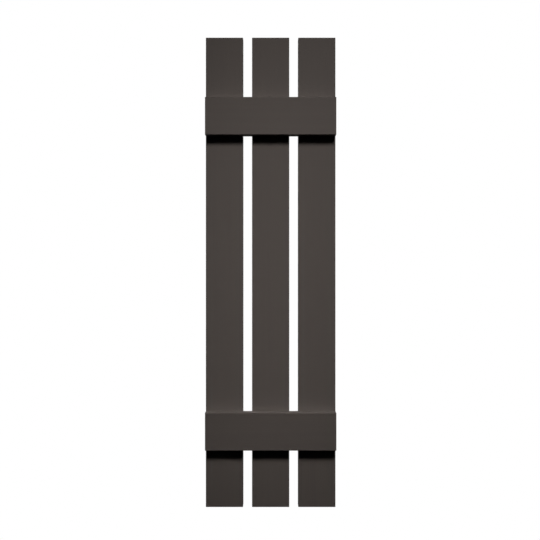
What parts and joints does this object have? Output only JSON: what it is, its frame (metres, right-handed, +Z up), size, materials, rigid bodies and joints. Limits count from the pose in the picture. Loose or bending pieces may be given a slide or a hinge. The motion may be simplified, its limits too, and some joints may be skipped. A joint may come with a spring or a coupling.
{
  "type": "board and batten shutter",
  "caption": "Fixed decorative exterior shutter: spaced upright hollow-backed vinyl boards tied together by horizontal battens across the front, with capped ends.",
  "frame": {"origin": "middle of the flat back, at half height, on the plane of the wall behind the shutter", "axes": "+Z up along the boards, +X to the right seen from the front, +Y into the wall, so the front faces -Y"},
  "size_m": [0.3016, 0.0381, 1.0922],
  "materials": {
    "extruded_vinyl": "through-coloured dark warm grey vinyl, embossed with a faint wood grain, matte",
    "moulded_vinyl": "through-coloured dark warm grey vinyl, smooth moulded, matte"
  },
  "bodies": {
    "root": {"left_board": "extruded_vinyl", "left_board_top_cap": "moulded_vinyl", "left_board_bottom_cap": "moulded_vinyl", "middle_board": "extruded_vinyl", "middle_board_top_cap": "moulded_vinyl", "middle_board_bottom_cap": "moulded_vinyl", "right_board": "extruded_vinyl", "right_board_top_cap": "moulded_vinyl", "right_board_bottom_cap": "moulded_vinyl", "top_batten": "extruded_vinyl", "top_batten_left_cap": "moulded_vinyl", "top_batten_right_cap": "moulded_vinyl", "bottom_batten": "extruded_vinyl", "bottom_batten_left_cap": "moulded_vinyl", "bottom_batten_right_cap": "moulded_vinyl"}
  },
  "joints": []
}
